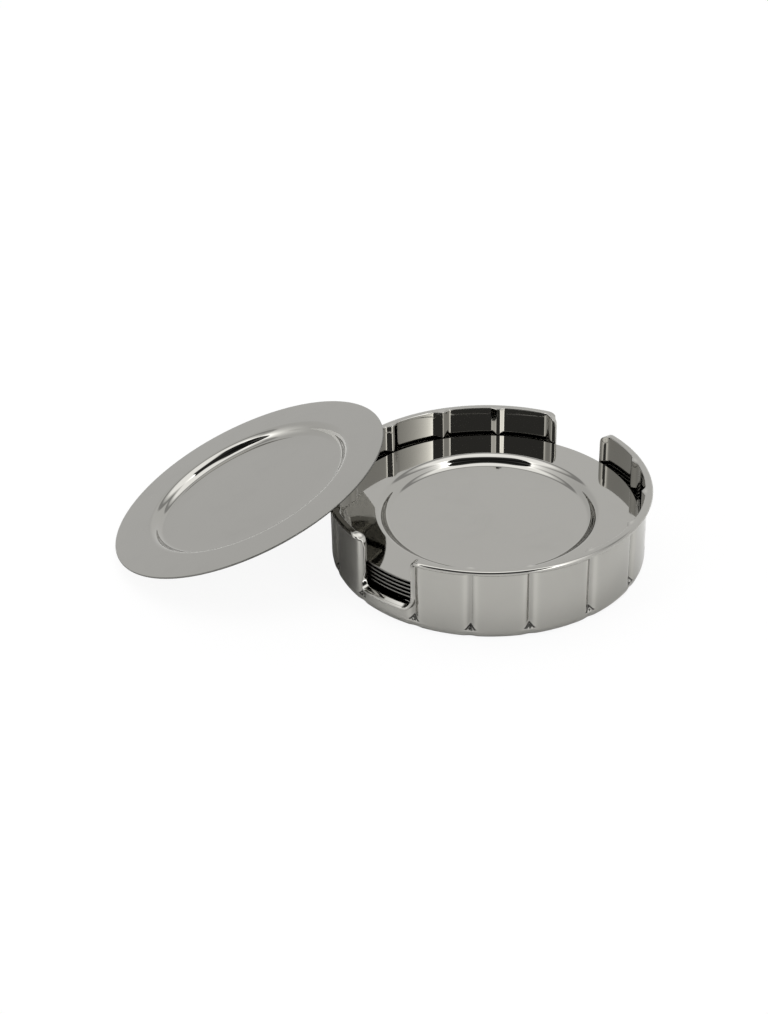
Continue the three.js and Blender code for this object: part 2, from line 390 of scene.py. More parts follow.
def new_tree(name, kind, inputs, outputs):
    """A node group with named sockets, and its input and output nodes."""
    tree = bpy.data.node_groups.new(name, kind)
    for label, socket_type, default in inputs:
        socket = tree.interface.new_socket(label, in_out="INPUT", socket_type=socket_type)
        if default is not None:
            socket.default_value = default
    for label, socket_type in outputs:
        tree.interface.new_socket(label, in_out="OUTPUT", socket_type=socket_type)
    nodes = Nodes(tree)
    return nodes, nodes.add("NodeGroupInput"), nodes.add("NodeGroupOutput")


def emptied(owner):
    """The bare node tree of a new material or world."""
    owner.use_nodes = True
    owner.node_tree.nodes.clear()
    return Nodes(owner.node_tree)


# Objects and meshes.

def in_scene(name, data):
    """A new object with this data, put in the scene."""
    made = bpy.data.objects.new(name, data)
    bpy.context.scene.collection.objects.link(made)
    return made


def evaluated_mesh(name, mesh, tree, values):
    """A plain mesh made by running one Geometry Nodes tree on a mesh."""
    base = in_scene(name + "_base", mesh)
    modifier = base.modifiers.new("shape", "NODES")
    modifier.node_group = tree
    for item in tree.interface.items_tree:
        if item.item_type == "SOCKET" and item.in_out == "INPUT" and item.name in values:
            modifier[item.identifier] = values[item.name]
    graph = bpy.context.evaluated_depsgraph_get()
    made = bpy.data.meshes.new_from_object(base.evaluated_get(graph))
    made.name = name
    bpy.data.objects.remove(base)
    return made


def face_outwards(mesh):
    """Doubles merged, faces turned outwards and shaded smooth."""
    work = bmesh.new()
    work.from_mesh(mesh)
    bmesh.ops.remove_doubles(work, verts=work.verts, dist=SAME_PLACE)
    bmesh.ops.recalc_face_normals(work, faces=work.faces)
    for face in work.faces:
        face.smooth = True
    work.to_mesh(mesh)
    work.free()


def finished_piece(name, mesh, placing):
    """The piece itself: its mesh moved to its place, faced outwards and put in the scene."""
    mesh.transform(placing)
    face_outwards(mesh)
    return in_scene(name + "_polished", mesh)


# Section outlines.

def rounded_path(corners, steps, hold=0.0):
    """Straight runs with rounded corners; each corner is (radius, height, fillet)."""
    path = []
    for i, (r, z, fillet) in enumerate(corners):
        here = np.array((r, z))
        if fillet == 0:
            path.append(here)
            continue
        before = np.array(corners[i - 1][:2]) - here
        after = np.array(corners[i + 1][:2]) - here
        before_unit = before / np.linalg.norm(before)
        after_unit = after / np.linalg.norm(after)
        half = math.acos(float(before_unit @ after_unit)) / 2
        reach = fillet / math.tan(half)
        start = here + before_unit * reach
        end = here + after_unit * reach
        bisector = before_unit + after_unit
        centre = here + bisector / np.linalg.norm(bisector) * fillet / math.sin(half)
        start_angle = math.atan2(*(start - centre)[::-1])
        turn = math.atan2(*(end - centre)[::-1]) - start_angle
        turn -= 2 * math.pi * round(turn / (2 * math.pi))
        if hold:
            path.append(start + before_unit * hold)
        for k in range(steps + 1):
            angle = start_angle + turn * k / steps
            path.append(centre + fillet * np.array((math.cos(angle), math.sin(angle))))
        if hold:
            path.append(end + after_unit * hold)
    return np.array(path)


def offset_path(path, distance):
    """The same path moved to the left of its direction."""
    into = np.diff(path, axis=0)
    into /= np.linalg.norm(into, axis=1)[:, None]
    first = np.vstack([into[:1], into])
    last = np.vstack([into, into[-1:]])
    along = first + last
    along /= np.linalg.norm(along, axis=1)[:, None]
    left = np.stack([-along[:, 1], along[:, 0]], axis=1)
    return path + left * (distance / np.sum(along * last, axis=1))[:, None]


def arc(centre, radius, start, end, count):
    """Points on an arc, with its angles in degrees."""
    angles = np.radians(np.linspace(start, end, count))
    return np.stack([centre[0] + radius * np.cos(angles), centre[1] + radius * np.sin(angles)], axis=1)


def smooth(value):
    """Soft rise from 0 to 1."""
    t = np.clip(value, 0, 1)
    return t * t * (3 - 2 * t)


# Coaster: a Geometry Nodes revolve of its section.

def dish_section():
    """Section of a coaster from the axis, over the top and back along the underside."""
    floor_radius = WELL_RADIUS - WELL_SLOPE_RUN
    top = rounded_path([
        (0, -WELL_DEPTH, 0),
        (floor_radius - WELL_FLOOR_EASE, -WELL_DEPTH, WELL_FLOOR_FILLET),
        (floor_radius, WELL_FLOOR_RISE - WELL_DEPTH, WELL_FOOT_FILLET),
        (WELL_RADIUS, 0, WELL_LIP_FILLET),
        (DISH_RIM_END, 0, 0),
    ], WELL_STEPS, DISH_HOLD)
    under = offset_path(top, -DISH_SHEET)[::-1]
    edge = rounded_path([
        (DISH_EDGE_START, 0, 0),
        (DISH_RADIUS, 0, DISH_TOP_ROUNDING),
        (DISH_RADIUS, -DISH_SHEET, DISH_UNDER_ROUNDING),
        (DISH_EDGE_START, -DISH_SHEET, 0),
    ], DISH_EDGE_STEPS, DISH_EDGE_HOLD)
    return np.vstack([top, edge, under])


def revolve_tree():
    """Lays a grid round the axis along the section, and marks each point's place and the cut edge."""
    nodes, given, result = new_tree("Pressed Dish Revolve", "GeometryNodeTree", [
        ("Section", "NodeSocketGeometry", None),
        ("Segments", "NodeSocketInt", DISH_SEGMENTS),
        ("Seam Distance", "NodeSocketFloat", SAME_PLACE),
        ("Cut Edge From", "NodeSocketFloat", DISH_RADIUS - CUT_EDGE),
        ("Cut Edge Fade", "NodeSocketFloat", CUT_EDGE_FADE),
        ("Metal", "NodeSocketMaterial", None),
    ], [("Dish", "NodeSocketGeometry")])
    section = given.outputs["Section"]
    section_size = nodes.add("GeometryNodeAttributeDomainSize", {"Geometry": section}, component="MESH")
    count = nodes.field(section_size, "Point Count")
    rings = nodes.field(given, "Segments") + 1
    grid = nodes.add("GeometryNodeMeshGrid", {
        "Size X": 1.0,
        "Size Y": 1.0,
        "Vertices X": count,
        "Vertices Y": rings,
    })
    # A unit grid: one way runs along the section and the other round the axis.
    across, around, _ = nodes.split(nodes.position())
    order = nodes.math("ROUND", (across + 0.5) * (count - 1))
    angle = (around + 0.5) * (2 * math.pi)
    radius, _, height = nodes.position_of(section, order)
    place = nodes.join(radius * nodes.math("COSINE", angle), radius * nodes.math("SINE", angle), height)
    moved = nodes.add("GeometryNodeSetPosition", {"Geometry": grid.outputs["Mesh"], "Position": place})
    closed = nodes.add("GeometryNodeMergeByDistance", {
        "Geometry": moved.outputs[0],
        "Distance": given.outputs["Seam Distance"],
    })
    marked = nodes.store(closed.outputs[0], "FLOAT_VECTOR", "own_place", nodes.position())
    own_x, own_y, _ = nodes.split(nodes.position())
    past_edge = nodes.length(own_x, own_y) - nodes.field(given, "Cut Edge From")
    cut_edge = nodes.smooth_step(past_edge, 0.0, nodes.field(given, "Cut Edge Fade"))
    edged = nodes.store(marked, "FLOAT", "cut_edge", cut_edge)
    nodes.feed(result.inputs["Dish"], nodes.in_metal(edged, given.outputs["Metal"]))
    return nodes.tree


def make_dish(name, tree, metal, placing):
    """One coaster, revolved from its section and set in its place."""
    points = [(r, 0, z) for r, z in dish_section()]
    section = bpy.data.meshes.new(name + "_section")
    section.from_pydata(points, [(i, i + 1) for i in range(len(points) - 1)], [])
    return finished_piece(name, evaluated_mesh(name, section, tree, {"Metal": metal}), placing)


# Holder: a shell of sheet laid out on the unrolled wall.
# On it u runs round the outside from the middle of the front opening, and z runs up.

def flute_angles():
    """Flutes of one side, as angles from the middle of the front opening."""
    first = (OPENING_HALF + FLUTE_EDGE) / WALL_RADIUS
    front = first + FLUTE_FRONT_STEP * np.arange(FLUTE_FRONT_GAPS + 1)
    rear = math.pi - first - FLUTE_REAR_STEP * np.arange(FLUTE_REAR_GAPS + 1)[::-1]
    between = np.linspace(front[-1], rear[0], FLUTES_PER_SIDE - len(front) - len(rear) + 2)[1:-1]
    return np.concatenate([front, between, rear])


def wall_columns():
    """Places of the columns round one side: fine at the flutes and at the corners of the openings."""
    foot_start = BAND_HALF - BAND_FOOT_RADIUS
    foot_turn = np.linspace(0, math.pi / 2, FOOT_COLUMNS)
    shoulder_turn = np.linspace(0, math.pi / 2, SHOULDER_COLUMNS)
    sill = np.linspace(0, foot_start, SILL_COLUMNS)
    foot = foot_start + BAND_FOOT_RADIUS * np.sin(foot_turn)
    shoulder = BAND_HALF + BAND_SHOULDER_RADIUS * (1 - np.cos(shoulder_turn))
    corner = np.concatenate([sill, foot, shoulder])
    fine = np.linspace(-FLUTE_COLUMNS_REACH, FLUTE_COLUMNS_REACH, FLUTE_COLUMNS)
    flutes = [a * WALL_RADIUS + fine for a in flute_angles()]
    places = np.concatenate([corner, HALF_ROUND - corner] + flutes)
    places = places[(places >= 0) & (places <= HALF_ROUND)]
    fixed = {0.0, BAND_HALF, foot_start, BAND_HALF + BAND_SHOULDER_RADIUS}
    fixed |= {HALF_ROUND - u for u in fixed}
    kept = []
    for u, must in sorted([(u, True) for u in fixed] + [(u, False) for u in places]):
        if kept and u - kept[-1][0] < NARROWEST_COLUMN:
            if must and not kept[-1][1]:
                kept[-1] = (u, True)
            continue
        if kept:
            start = kept[-1][0]
            spare = int((u - start) / WIDEST_COLUMN)
            kept += [(start + (u - start) * k / (spare + 1), False) for k in range(1, spare + 1)]
        kept.append((u, must))
    return np.array([u for u, _ in kept])


def from_nearest_opening(u):
    """Way round the wall from the middle of the nearer opening."""
    return np.minimum(u, HALF_ROUND - u)


def lower_top(u):
    """Upper border of the lower rows: the sill, the round corner beside it, then a level line."""
    across = np.clip(from_nearest_opening(u) - (BAND_HALF - BAND_FOOT_RADIUS), 0, BAND_FOOT_RADIUS)
    return BAND_JOINT - np.sqrt(np.maximum(BAND_FOOT_RADIUS ** 2 - across ** 2, 0))


def upper_top(u):
    """Upper border of the upper rows: the round shoulder, then the rim."""
    across = np.clip(BAND_HALF + BAND_SHOULDER_RADIUS - from_nearest_opening(u), 0, BAND_SHOULDER_RADIUS)
    return BAND_TOP - BAND_SHOULDER_RADIUS + np.sqrt(np.maximum(BAND_SHOULDER_RADIUS ** 2 - across ** 2, 0))


def free_edge(u, z, mirrored):
    """For a border point: the direction into the wall, and how far the sill's and the rim's lips are out."""
    v = HALF_ROUND - u if mirrored else u
    foot_centre = np.array((BAND_HALF - BAND_FOOT_RADIUS, BAND_JOINT))
    shoulder_centre = np.array((BAND_HALF + BAND_SHOULDER_RADIUS, BAND_TOP - BAND_SHOULDER_RADIUS))
    if v <= foot_centre[0] or v >= shoulder_centre[0]:
        into = np.array((0.0, -1.0))
    elif z <= BAND_JOINT:
        into = (np.array((v, z)) - foot_centre) / BAND_FOOT_RADIUS
    elif z >= shoulder_centre[1]:
        into = (shoulder_centre - np.array((v, z))) / BAND_SHOULDER_RADIUS
    else:
        into = np.array((1.0, 0.0))
    edge_z = z - into[1] * LIP_BAND
    sill_share = 1 - smooth((edge_z - OPENING_SILL) / SILL_LIP_FADE)
    rim_share = smooth((edge_z - (HOLDER_HEIGHT - SHOULDER_LIP_FADE)) / SHOULDER_LIP_FADE)
    if mirrored:
        into = into * np.array((-1.0, 1.0))
    return into, sill_share, rim_share


def inner_run(start):
    """Points down the inner face of the wall, from the edge to the border of the lip's band."""
    return np.linspace((start, -HOLDER_SHEET), (LIP_BAND, -HOLDER_SHEET), INNER_RUN_POINTS)[1:]


def lip_section(drop):
    """Turned-out lip whose top falls outwards by a drop: (distance from the edge, height off the wall)."""
    nose_radius = (LIP_THICKNESS - drop) / 2
    tip = LIP_REACH - nose_radius
    inner_centre = (LIP_INNER_FILLET, LIP_INNER_FILLET - HOLDER_SHEET)
    begin = np.array([(LIP_BAND, 0)])
    crease = arc((LIP_THICKNESS + LIP_CREASE, LIP_CREASE), LIP_CREASE, 270, 180, CREASE_POINTS)
    under = np.linspace((LIP_THICKNESS, LIP_CREASE), (LIP_THICKNESS, tip), UNDER_LIP_POINTS)[1:-1]
    nose = arc((LIP_THICKNESS - nose_radius, tip), nose_radius, 0, 180, NOSE_POINTS)
    top = np.linspace((drop, tip), (0, inner_centre[1]), LIP_TOP_POINTS)[1:-1]
    inner = arc(inner_centre, LIP_INNER_FILLET, 180, 270, INNER_FILLET_POINTS)
    return np.vstack([begin, crease, under, nose, top, inner, inner_run(LIP_INNER_FILLET)])


def plain_section(count):
    """Rounded edge of the bare sheet, with as many points as a lip."""
    half = HOLDER_SHEET / 2
    begin = np.array([(LIP_BAND, 0)])
    run = np.linspace((LIP_THICKNESS + LIP_CREASE, 0), (half, 0), PLAIN_RUN_POINTS)
    finish = inner_run(half)
    bend = arc((half, -half), half, 90, 270, count - len(run) - len(finish))[1:]
    return np.vstack([begin, run, bend, finish])


def on_wall(u, z, off):
    """Unrolled places to places in the holder's own frame."""
    u, z, off = np.broadcast_arrays(u, z, off)
    angle = u / WALL_RADIUS
    radius = WALL_RADIUS + off
    return np.stack([radius * np.sin(angle), -radius * np.cos(angle), z], axis=-1)


def base_section():
    """Underside of the holder from the axis to the start of the wall, and the same for the inside."""
    wall_above = (WALL_RADIUS, 2 * FOOT_FILLET)
    under = rounded_path([
        (0, FLOOR_HEIGHT - HOLDER_SHEET, 0),
        (FLOOR_RADIUS, FLOOR_HEIGHT - HOLDER_SHEET, FLOOR_STEP_FILLET),
        (FLOOR_RADIUS + FLOOR_STEP_RUN, 0, FLOOR_STEP_FILLET),
        (WALL_RADIUS, 0, FOOT_FILLET),
        (*wall_above, 0),
    ], BASE_STEPS, BASE_HOLD)[:-2]
    over = offset_path(np.vstack([under, [wall_above]]), HOLDER_SHEET)[:-1]
    over[-1] = (WALL_RADIUS - HOLDER_SHEET, FOOT_FILLET)
    return under, over


class Shell:
    """Collects grid patches as vertices, faces and a share that says which side of the sheet they are on."""

    def __init__(self):
        self.points = []
        self.faces = []
        self.inside = []

    def patch(self, grid, inside):
        """Adds a grid of points and the faces between them."""
        rows, columns = grid.shape[:2]
        start = len(self.points)
        self.points += [tuple(p) for p in grid.reshape(-1, 3)]
        self.inside += list(np.broadcast_to(inside, (rows, columns)).reshape(-1))
        for i in range(rows - 1):
            for j in range(columns - 1):
                a = start + i * columns + j
                self.faces.append((a, a + 1, a + columns + 1, a + columns))

    def mirrored(self):
        """Adds the mirror image of all that is there."""
        count = len(self.points)
        self.points += [(-x, y, z) for x, y, z in self.points]
        self.inside += self.inside
        self.faces += [tuple(i + count for i in reversed(face)) for face in self.faces]

    def mesh(self, name):
        mesh = bpy.data.meshes.new(name)
        mesh.from_pydata(self.points, [], self.faces)
        share = mesh.attributes.new("inside_share", "FLOAT", "POINT")
        share.data.foreach_set("value", np.array(self.inside, np.float32))
        return mesh


def holder_shell():
    """The plain holder before its flutes: wall, base and lip of one side, mirrored to the other."""
    shell = Shell()
    columns = wall_columns()
    past_front = columns >= BAND_HALF - TOUCHING
    before_rear = columns <= HALF_ROUND - BAND_HALF + TOUCHING
    upper = columns[past_front & before_rear]
    low_share = np.linspace(0, 1, LOW_ROWS) ** LOW_ROWS_BIAS
    high_share = 1 - (1 - np.linspace(0, 1, HIGH_ROWS)) ** HIGH_ROWS_BIAS
    low_z = FOOT_FILLET + low_share[:, None] * (lower_top(columns) - FOOT_FILLET)[None, :]
    high_z = BAND_JOINT + high_share[:, None] * (upper_top(upper) - BAND_JOINT)[None, :]
    for side, off in ((0.0, 0.0), (1.0, -HOLDER_SHEET)):
        shell.patch(on_wall(columns[None, :], low_z, off), side)
        shell.patch(on_wall(upper[None, :], high_z, off), side)
    for side, section in zip((0.0, 1.0), base_section()):
        radius = section[:, 0][:, None]
        shell.patch(on_wall(columns[None, :], section[:, 1][:, None], radius - WALL_RADIUS), side)
    shell.patch(*lip_strip(columns, upper, high_z))
    shell.mirrored()
    return shell.mesh("holder_shell")


def lip_strip(columns, upper, high_z):
    """The band along the free edge, from the outer face of the wall over the edge to the inner face."""
    front = columns[columns <= BAND_HALF + TOUCHING]
    rear = columns[columns >= HALF_ROUND - BAND_HALF - TOUCHING]
    border = [(u, z, False) for u, z in zip(front, lower_top(front))]
    border += [(upper[0], z, False) for z in high_z[1:, 0]]
    border += [(u, z, u > HALF_ROUND / 2) for u, z in zip(upper[1:-1], high_z[-1, 1:-1])]
    border += [(upper[-1], z, True) for z in high_z[:0:-1, -1]]
    border += [(u, z, True) for u, z in zip(rear, lower_top(rear))]
    rim = lip_section(0.0)
    sill = lip_section(SILL_LIP_DROP)
    plain = plain_section(len(rim))
    rows = np.zeros((len(plain), len(border), 3))
    inside = np.zeros((len(plain), len(border)))
    for j, (u, z, far) in enumerate(border):
        into, sill_share, rim_share = free_edge(u, z, far)
        section = plain + (sill - plain) * sill_share + (rim - plain) * rim_share
        along = section[:, 0] - LIP_BAND
        rows[:, j] = on_wall(u + into[0] * along, z + into[1] * along, section[:, 1])
        inside[:, j] = np.clip(-section[:, 1] / (HOLDER_SHEET - LIP_INNER_FILLET), 0, 1)
    return rows, inside


FLUTE_SIZES = {
    "Wall Radius": WALL_RADIUS,
    "Depth": FLUTE_DEPTH,
    "Slope Outside": FLUTE_SLOPE_OUTSIDE,
    "Slope Inside": FLUTE_SLOPE_INSIDE,
    "Tip Outside": FLUTE_TIP_OUTSIDE,
    "Tip Inside": FLUTE_TIP_INSIDE,
    "Shoulder Outside": FLUTE_SHOULDER_OUTSIDE,
    "Shoulder Inside": FLUTE_SHOULDER_INSIDE,
    "Foot Height": FLUTE_FOOT,
    "Foot Rise": FLUTE_FOOT_RISE,
    "Foot Softness": FLUTE_FOOT_SOFTNESS,
    "Dent": FLUTE_DENT,
    "Dent Reach": FLUTE_DENT_REACH,
    "Dent Height": FLUTE_DENT_HEIGHT,
    "Dent Fade": FLUTE_DENT_FADE,
    "Top Height": HOLDER_HEIGHT - FLUTE_TOP_GAP,
    "Top Fade": FLUTE_TOP_FADE,
    "Inner Limit": FLOOR_RADIUS + FLOOR_STEP_RUN,
}


def flute_tree():
    """Presses the flutes into the shell: each point moves in by its place across the nearest flute."""
    inputs = [("Shell", "NodeSocketGeometry", None), ("Flute Marks", "NodeSocketObject", None)]
    inputs += [(label, "NodeSocketFloat", value) for label, value in FLUTE_SIZES.items()]
    inputs += [("Metal", "NodeSocketMaterial", None)]
    outputs = [("Holder", "NodeSocketGeometry")]
    nodes, given, result = new_tree("Flute Pressing", "GeometryNodeTree", inputs, outputs)
    size = {label: nodes.field(given, label) for label in FLUTE_SIZES}
    inside_share = nodes.add("GeometryNodeInputNamedAttribute", {"Name": "inside_share"}, data_type="FLOAT")
    inside = nodes.field(inside_share)

    def for_side(label):
        outer = size[label + " Outside"]
        return outer + inside * (size[label + " Inside"] - outer)

    # Place of the point: out from the axis, up, and across the nearest flute.
    x, y, z = nodes.split(nodes.position())
    angle = nodes.math("ARCTAN2", x, y * -1)
    out_x = nodes.math("SINE", angle)
    out_y = nodes.math("COSINE", angle) * -1
    radius = nodes.length(x, y)
    on_circle = nodes.join(out_x * size["Wall Radius"], out_y * size["Wall Radius"], 0.0)
    marks_info = nodes.add("GeometryNodeObjectInfo", {"Object": given.outputs["Flute Marks"]})
    marks = marks_info.outputs["Geometry"]
    nearest = nodes.add("GeometryNodeSampleNearest", {
        "Geometry": marks,
        "Sample Position": on_circle,
    }, domain="POINT")
    mark_x, mark_y, _ = nodes.position_of(marks, nodes.field(nearest))
    mark_angle = nodes.math("ARCTAN2", mark_x, mark_y * -1)
    across = nodes.math("WRAP", angle - mark_angle, math.pi, -math.pi) * size["Wall Radius"]

    # A groove with a rounded bottom and soft shoulders, ended by a slanting facet at its foot.
    tip = for_side("Tip")
    slope = for_side("Slope")
    shoulder = for_side("Shoulder")
    off_centre = nodes.math("SQRT", across * across + tip * tip) - tip
    groove = nodes.soft_above_zero(size["Depth"] / slope - off_centre, shoulder) * slope
    foot_slope = size["Depth"] / size["Foot Rise"]
    facet = nodes.soft_above_zero((z - size["Foot Height"]) * foot_slope, size["Foot Softness"])
    pressed = nodes.soft_lower(groove, facet, size["Foot Softness"])
    below_top = nodes.smooth_step(size["Top Height"] - z, 0.0, size["Top Fade"])
    top_fade = nodes.math("MAXIMUM", below_top, inside)

    # A shallow dent in the base below each flute.
    spread = across / size["Dent Reach"]
    dent_fade = nodes.smooth_step(size["Dent Height"] - z, 0.0, size["Dent Fade"])
    dent = nodes.math("EXPONENT", spread * spread * -1) * dent_fade
    on_wall_only = nodes.math("GREATER_THAN", radius, size["Inner Limit"])
    inwards = nodes.math("MAXIMUM", pressed * top_fade + dent * size["Dent"], 0.0) * on_wall_only
    offset = nodes.join(out_x * inwards * -1, out_y * inwards * -1, 0.0)

    outside = on_wall_only * (1 - inside)
    groove_share = pressed * top_fade * outside / size["Depth"]
    pocket_share = (groove - pressed) * outside / size["Depth"]
    marked = nodes.store(given.outputs["Shell"], "FLOAT", "groove_share", groove_share)
    shaded = nodes.store(marked, "FLOAT", "pocket_share", pocket_share)
    moved = nodes.add("GeometryNodeSetPosition", {"Geometry": shaded, "Offset": offset})
    nodes.feed(result.inputs["Holder"], nodes.in_metal(moved.outputs[0], given.outputs["Metal"]))
    return nodes.tree


def make_holder(metal):
    """The holder: its shell with the flutes pressed in, set on its axis."""
    angles = np.concatenate([flute_angles(), -flute_angles()])
    places = [(WALL_RADIUS * math.sin(a), -WALL_RADIUS * math.cos(a), 0) for a in angles]
    marks_mesh = bpy.data.meshes.new("flute_marks")
    marks_mesh.from_pydata(places, [], [])
    marks = in_scene("flute_marks", marks_mesh)
    shell = holder_shell()
    face_outwards(shell)
    made = evaluated_mesh("holder", shell, flute_tree(), {"Flute Marks": marks, "Metal": metal})
    bpy.data.objects.remove(marks)
    return finished_piece("holder", made, Matrix.Translation(HOLDER_AXIS))


# Metal finish, and the painted light and shade on the flutes.

def polishing_marks_group():
    """Fine straight marks: noise drawn out along one turned direction."""
    nodes, given, result = new_tree("Polishing Marks", "ShaderNodeTree", [
        ("Place", "NodeSocketVector", None),
        ("Scale", "NodeSocketFloat", MARKS_SCALE),
        ("Stretch", "NodeSocketFloat", MARKS_STRETCH),
        ("Turn", "NodeSocketFloat", HOLDER_MARKS_TURN),
    ], [("Marks", "NodeSocketFloat")])
    turned = nodes.add("ShaderNodeVectorRotate", {
        "Vector": given.outputs["Place"],
        "Angle": given.outputs["Turn"],
    })
    x, y, z = nodes.split(nodes.field(turned))
    noise = nodes.add("ShaderNodeTexNoise", {
        "Vector": nodes.join(x / nodes.field(given, "Stretch"), y, z),
        "Scale": given.outputs["Scale"],
        "Detail": MARKS_DETAIL,
    })
    nodes.feed(result.inputs["Marks"], nodes.smooth_step(nodes.field(noise, "Fac"), *MARKS_RISE))
    return nodes.tree


def smudges_group():
    """Broad patches left by handling."""
    nodes, given, result = new_tree("Handling Smudges", "ShaderNodeTree", [
        ("Place", "NodeSocketVector", None),
        ("Scale", "NodeSocketFloat", SMUDGE_SCALE),
    ], [("Smudge", "NodeSocketFloat")])
    noise = nodes.add("ShaderNodeTexNoise", {
        "Vector": given.outputs["Place"],
        "Scale": given.outputs["Scale"],
        "Detail": SMUDGE_DETAIL,
        "Roughness": SMUDGE_GRAIN,
        "Distortion": SMUDGE_DISTORTION,
    })
    nodes.feed(result.inputs["Smudge"], nodes.smooth_step(nodes.field(noise, "Fac"), *SMUDGE_RISE))
    return nodes.tree


def press_ripple_group():
    """Slow waves that pressing leaves in thin sheet."""
    nodes, given, result = new_tree("Press Ripple", "ShaderNodeTree", [
        ("Place", "NodeSocketVector", None),
        ("Scale", "NodeSocketFloat", RIPPLE_SCALE),
    ], [("Height", "NodeSocketFloat")])
    noise = nodes.add("ShaderNodeTexNoise", {
        "Vector": given.outputs["Place"],
        "Scale": given.outputs["Scale"],
        "Detail": RIPPLE_DETAIL,
        "Roughness": RIPPLE_GRAIN,
    })
    nodes.feed(result.inputs["Height"], nodes.field(noise, "Fac"))
    return nodes.tree


def flute_light_and_wear_group():
    """Painted highlight on the flute shoulders, painted shade in the flute bottoms and pockets, matte
    pockets, and the darker sheared cut edges.
    """
    nodes, given, result = new_tree("Flute Painted Light And Wear", "ShaderNodeTree", [
        ("Place", "NodeSocketVector", None),
        ("Scale", "NodeSocketFloat", PATCH_SCALE),
        ("Groove Share", "NodeSocketFloat", 0.0),
        ("Pocket Share", "NodeSocketFloat", 0.0),
        ("Cut Edge", "NodeSocketFloat", 0.0),
        ("Shoulder Highlight", "NodeSocketFloat", SHOULDER_HIGHLIGHT),
        ("Groove Shade", "NodeSocketFloat", GROOVE_SHADE),
        ("Pocket Shade", "NodeSocketFloat", POCKET_SHADE),
        ("Sheared", "NodeSocketFloat", SHEARED),
    ], [("Brightness", "NodeSocketFloat"), ("Matte", "NodeSocketFloat")])
    share = nodes.field(given, "Groove Share")
    lost = nodes.field(given, "Pocket Share")
    in_pocket = nodes.smooth_step(lost, *POCKET_RISE) * nodes.smooth_step(share, *POCKET_TOE_RISE)
    noise = nodes.add("ShaderNodeTexNoise", {
        "Vector": given.outputs["Place"],
        "Scale": given.outputs["Scale"],
        "Detail": PATCH_DETAIL,
    })
    patches = nodes.smooth_step(nodes.field(noise, "Fac"), *PATCH_RISE)
    # Painted shade in the pockets at the flute feet: darkest along a roof at their top and in noise patches
    # below it.
    roof = 1 - nodes.smooth_step(lost, *POCKET_ROOF_FALL)
    # Painted highlight: the shoulders of the flutes are made brighter.
    shoulder_highlight = nodes.band(share, SHOULDER_RISE, SHOULDER_FALL) * nodes.field(given, "Shoulder Highlight")
    # Painted shade: the bottoms of the flutes are made darker.
    groove_shade = nodes.smooth_step(share, *BOTTOM_RISE) * nodes.field(given, "Groove Shade")
    # Painted highlight and shade of the flutes, as one factor on the colour.
    painted_light_level = shoulder_highlight - groove_shade + 1
    pocket_shade = in_pocket * nodes.math("MAXIMUM", roof, patches) * nodes.field(given, "Pocket Shade")
    sheared = nodes.field(given, "Cut Edge") * nodes.field(given, "Sheared")
    nodes.feed(result.inputs["Brightness"], painted_light_level * (1 - pocket_shade) * (1 - sheared))
    nodes.feed(result.inputs["Matte"], in_pocket)
    return nodes.tree


MARKS_GROUP = polishing_marks_group()
SMUDGES_GROUP = smudges_group()
RIPPLE_GROUP = press_ripple_group()
FLUTE_LIGHT_AND_WEAR_GROUP = flute_light_and_wear_group()


def polished_metal(name, ripple, marks_turn, place_attribute=None):
    """Mirror-polished metal, marked by the piece's own stored place or else by its place in the set."""
    metal = bpy.data.materials.new(name)
    nodes = emptied(metal)

    def attribute(label, output):
        return nodes.field(nodes.add("ShaderNodeAttribute", attribute_name=label), output)

    def finish_group(tree, inputs):
        return nodes.add("ShaderNodeGroup", inputs, node_tree=tree)

    if place_attribute:
        place = attribute(place_attribute, "Vector")
    else:
        place = nodes.field(nodes.add("ShaderNodeTexCoord"), "Object")
    cut_edge = attribute("cut_edge", "Fac")
    mark = nodes.field(finish_group(MARKS_GROUP, {"Place": place, "Turn": marks_turn}))
    smudge = nodes.field(finish_group(SMUDGES_GROUP, {"Place": place}))
    wave = nodes.field(finish_group(RIPPLE_GROUP, {"Place": place}))
    # Painted highlight and shade on the flutes, with the matte pockets and the darker sheared cut edges.
    painted_light_and_wear = finish_group(FLUTE_LIGHT_AND_WEAR_GROUP, {
        "Place": place,
        "Groove Share": attribute("groove_share", "Fac"),
        "Pocket Share": attribute("pocket_share", "Fac"),
        "Cut Edge": cut_edge,
    })
    matte = nodes.field(painted_light_and_wear, "Matte")
    # The painted highlight and shade of the flutes scale the metal's colour here.
    shade = nodes.field(painted_light_and_wear, "Brightness") * (1 - smudge * SMUDGE_SHADE)
    tint = nodes.add("ShaderNodeMix", {
        MIX_SHARE: 1.0,
        MIX_FIRST: METAL_COLOUR,
        MIX_SECOND: nodes.join(shade, shade, shade),
    }, data_type="RGBA", blend_type="MULTIPLY")
    bump = nodes.add("ShaderNodeBump", {
        "Strength": BUMP_STRENGTH,
        "Distance": BUMP_DISTANCE,
        "Height": wave * ripple - mark * MARKS_HEIGHT,
    })
    handled = POLISH_ROUGHNESS + mark * MARKS_ROUGHNESS + smudge * SMUDGE_ROUGHNESS
    shader = nodes.add("ShaderNodeBsdfPrincipled", {
        "Base Color": tint.outputs[MIX_RESULT],
        "Metallic": 1.0,
        "Roughness": handled + cut_edge * CUT_EDGE_ROUGHNESS + matte * POCKET_ROUGHNESS,
        "Normal": bump.outputs[0],
    })
    nodes.add("ShaderNodeOutputMaterial", {"Surface": shader.outputs[0]})
    return metal


# Pieces.

HOLDER_METAL = polished_metal("holder_polish", HOLDER_RIPPLE, HOLDER_MARKS_TURN)
DISH_METAL = polished_metal("coaster_polish", DISH_RIPPLE, DISH_MARKS_TURN, "own_place")


